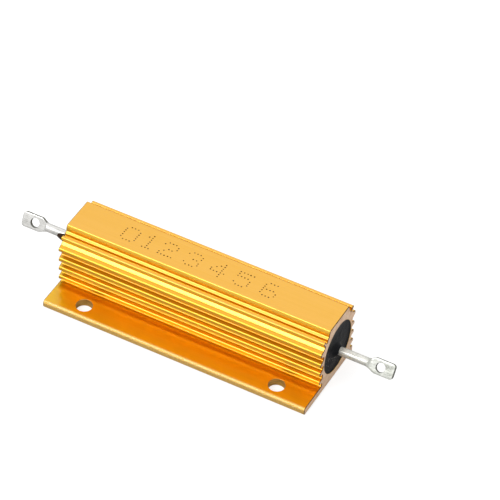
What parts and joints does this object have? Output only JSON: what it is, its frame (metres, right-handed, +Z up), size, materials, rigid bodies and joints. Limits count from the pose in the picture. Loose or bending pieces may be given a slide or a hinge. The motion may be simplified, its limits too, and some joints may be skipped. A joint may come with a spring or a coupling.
{
  "type": "aluminium housed power resistor",
  "caption": "Ribbed, gold anodised aluminium case with a drilled side flange, potted around a wirewound ceramic core, with a drilled solder lug at each end.",
  "frame": {"origin": "on the underside, midway along the housing, directly below the axis of the long bore", "axes": "+X along the housing, +Z up from the mounting face, -Y towards the drilled flange"},
  "size_m": [0.1286, 0.0316, 0.023],
  "materials": {
    "anodised_housing": "satin gold anodised, with bare cut ends",
    "tinned_terminal": "bright tinned steel",
    "black_epoxy": "glossy cast epoxy",
    "potting": "matt moulded filler",
    "ceramic": "unglazed white ceramic",
    "resistance_wire": "drawn nickel-chromium wire",
    "cap_steel": "plated pressed steel"
  },
  "bodies": {
    "root": {"housing": "anodised_housing", "ceramic_core": "ceramic", "resistance_winding": "resistance_wire", "end_cap_right": "cap_steel", "end_cap_left": "cap_steel", "terminal_right": "tinned_terminal", "terminal_left": "tinned_terminal", "potting_compound": "potting", "end_seal_right": "black_epoxy", "end_seal_left": "black_epoxy"}
  },
  "joints": []
}
